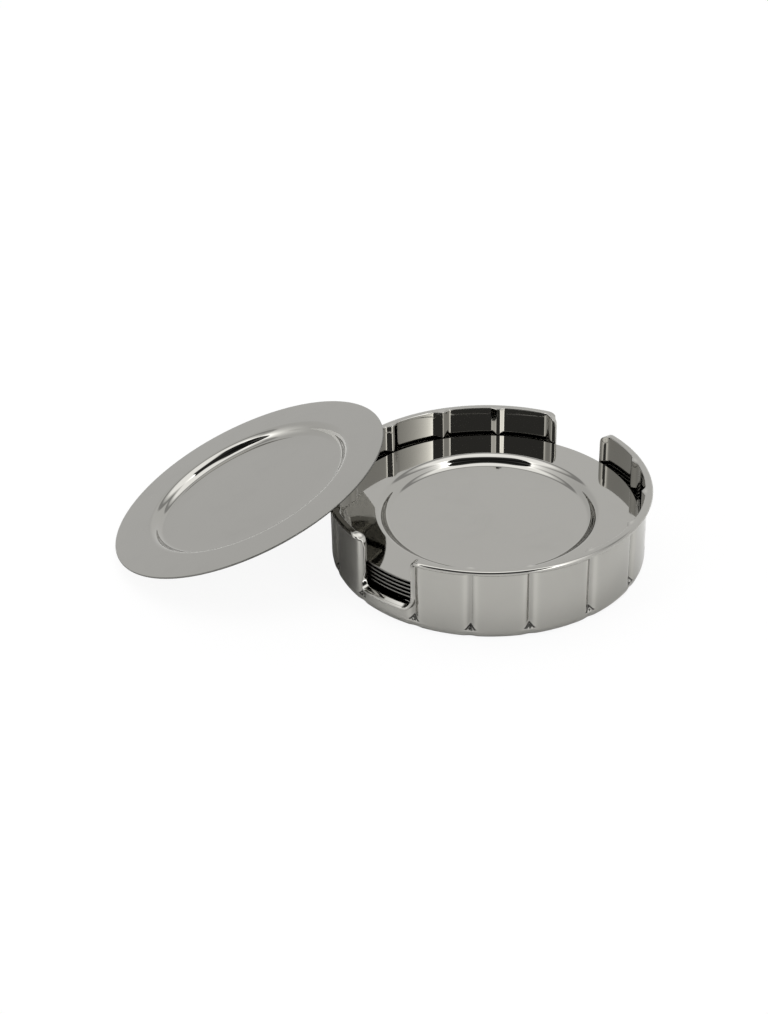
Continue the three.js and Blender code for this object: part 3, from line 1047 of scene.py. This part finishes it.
def place_on_body(piece, node):
    """Lets a piece stand for its CAD node and ride on that node's body."""
    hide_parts(node)
    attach(piece, node)


place_on_body(make_holder(HOLDER_METAL), "holder")

DISH_TREE = revolve_tree()
for node in STACK:
    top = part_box(node)[1].z
    placing = Matrix.Translation(Vector((HOLDER_AXIS.x, HOLDER_AXIS.y, top)))
    place_on_body(make_dish(node, DISH_TREE, DISH_METAL, placing), node)


def leaner_placing():
    """The leaning coaster's own frame: its axis from its joint, its middle from its CAD node."""
    joint = next(j for j in frame["joints"] if j["child"] == LEANER)
    axis = Vector(joint["axis"]).normalized()
    corners = frame["nodes"][LEANER].data.vertices
    points = {tuple(round(c, SAME_PLACE_DIGITS) for c in v.co) for v in corners}
    middle = sum((Vector(p) for p in points), Vector()) / len(points)
    rim = max(Vector(p).dot(axis) for p in points)
    centre = middle + axis * (rim - middle.dot(axis))
    side = Vector((0, 0, 1)).cross(axis).normalized()
    turn = Matrix((side, axis.cross(side), axis)).transposed().to_4x4()
    return Matrix.Translation(centre) @ turn


place_on_body(make_dish(LEANER, DISH_TREE, DISH_METAL, leaner_placing()), LEANER)


# Studio floor, soft light and camera.

def studio_floor():
    """Pale paper that looks almost white to the camera and keeps a faint shadow."""
    corners = [(-FLOOR_HALF, -FLOOR_HALF, 0), (FLOOR_HALF, -FLOOR_HALF, 0),
               (FLOOR_HALF, FLOOR_HALF, 0), (-FLOOR_HALF, FLOOR_HALF, 0)]
    mesh = bpy.data.meshes.new("studio_floor")
    mesh.from_pydata(corners, [], [(0, 1, 2, 3)])
    floor = in_scene("studio_floor", mesh)
    paper = bpy.data.materials.new("studio_paper")
    nodes = emptied(paper)
    seen = nodes.field(nodes.add("ShaderNodeLightPath"), "Is Camera Ray")
    diffuse = nodes.add("ShaderNodeBsdfDiffuse", {"Color": PAPER_COLOUR})
    white = nodes.add("ShaderNodeEmission", {"Color": WHITE, "Strength": 1.0})
    blend = nodes.add("ShaderNodeMixShader", {"Fac": seen * PAPER_WHITE_SHARE})
    nodes.feed(blend.inputs[1], diffuse.outputs[0])
    nodes.feed(blend.inputs[2], white.outputs[0])
    nodes.add("ShaderNodeOutputMaterial", {"Surface": blend.outputs[0]})
    mesh.materials.append(paper)


def studio_world():
    """White all round with a dark side, soft lamps at its two edges and a brighter ceiling."""
    world = bpy.data.worlds.new("studio")
    bpy.context.scene.world = world
    nodes = emptied(world)
    x, y, z = nodes.split(nodes.add("ShaderNodeTexCoord").outputs["Generated"])
    azimuth = nodes.math("ARCTAN2", x, y * -1) * DEGREES
    elevation = nodes.math("ARCSINE", z) * DEGREES
    past_right = azimuth - (elevation * DARK_RIGHT_SLANT + DARK_RIGHT)
    past_left = elevation * DARK_LEFT_SLANT + DARK_LEFT - azimuth
    between = (1 - nodes.smooth_step(past_right, *DARK_EDGE)) * (1 - nodes.smooth_step(past_left, *DARK_EDGE))
    dark = between * nodes.band(elevation, DARK_RISE, DARK_FALL)
    dark_share = nodes.smooth_step(elevation, *DARK_SHARE_RISE) * DARK_SHARE_MORE + DARK_SHARE
    lamp_band = nodes.band(elevation, LAMP_RISE, LAMP_FALL)

    def lamp(past, reach, strength):
        fading = nodes.math("EXPONENT", past * (-1 / reach)) * nodes.smooth_step(past, *LAMP_EDGE)
        return fading * lamp_band * strength

    ceiling = nodes.smooth_step(elevation, *CEILING_RISE) * CEILING
    gap = nodes.band(elevation, GAP_RISE, GAP_FALL) * GAP
    far_left = nodes.smooth_step(x * -1, *FAR_LEFT_RISE) * FAR_LEFT
    white = STUDIO_LEVEL - far_left - gap + ceiling
    right_lamp = lamp(past_right, RIGHT_LAMP_REACH, RIGHT_LAMP)
    left_lamp = lamp(past_left, LEFT_LAMP_REACH, LEFT_LAMP)
    level = white * (1 - dark * dark_share) + right_lamp + left_lamp
    ray = nodes.add("ShaderNodeLightPath")
    seen = nodes.field(ray, "Is Camera Ray")
    on_paper = nodes.field(ray, "Is Diffuse Ray") * PAPER_FILL + 1
    strength = seen + (1 - seen) * level * on_paper
    background = nodes.add("ShaderNodeBackground", {"Color": WHITE, "Strength": strength})
    nodes.add("ShaderNodeOutputWorld", {"Surface": background.outputs[0]})


def studio_camera():
    """The camera of the photograph."""
    lens = bpy.data.cameras.new("photo_camera")
    lens.sensor_width = SENSOR
    lens.lens = CAMERA_FOCAL_PIXELS * SENSOR / IMAGE_HEIGHT
    lens.clip_start = CAMERA_NEAREST
    lens.clip_end = CAMERA_FARTHEST
    camera = in_scene("photo_camera", lens)
    turn = Matrix.Rotation(CAMERA_HEADING, 4, "Z")
    tilt = Matrix.Rotation(math.pi / 2 - CAMERA_PITCH, 4, "X")
    roll = Matrix.Rotation(CAMERA_ROLL, 4, "Z")
    camera.matrix_world = Matrix.Translation(HOLDER_AXIS + turn @ CAMERA_PLACE) @ turn @ tilt @ roll
    bpy.context.scene.camera = camera


studio_floor()
studio_world()
studio_camera()
bpy.context.scene.view_settings.view_transform = "Standard"
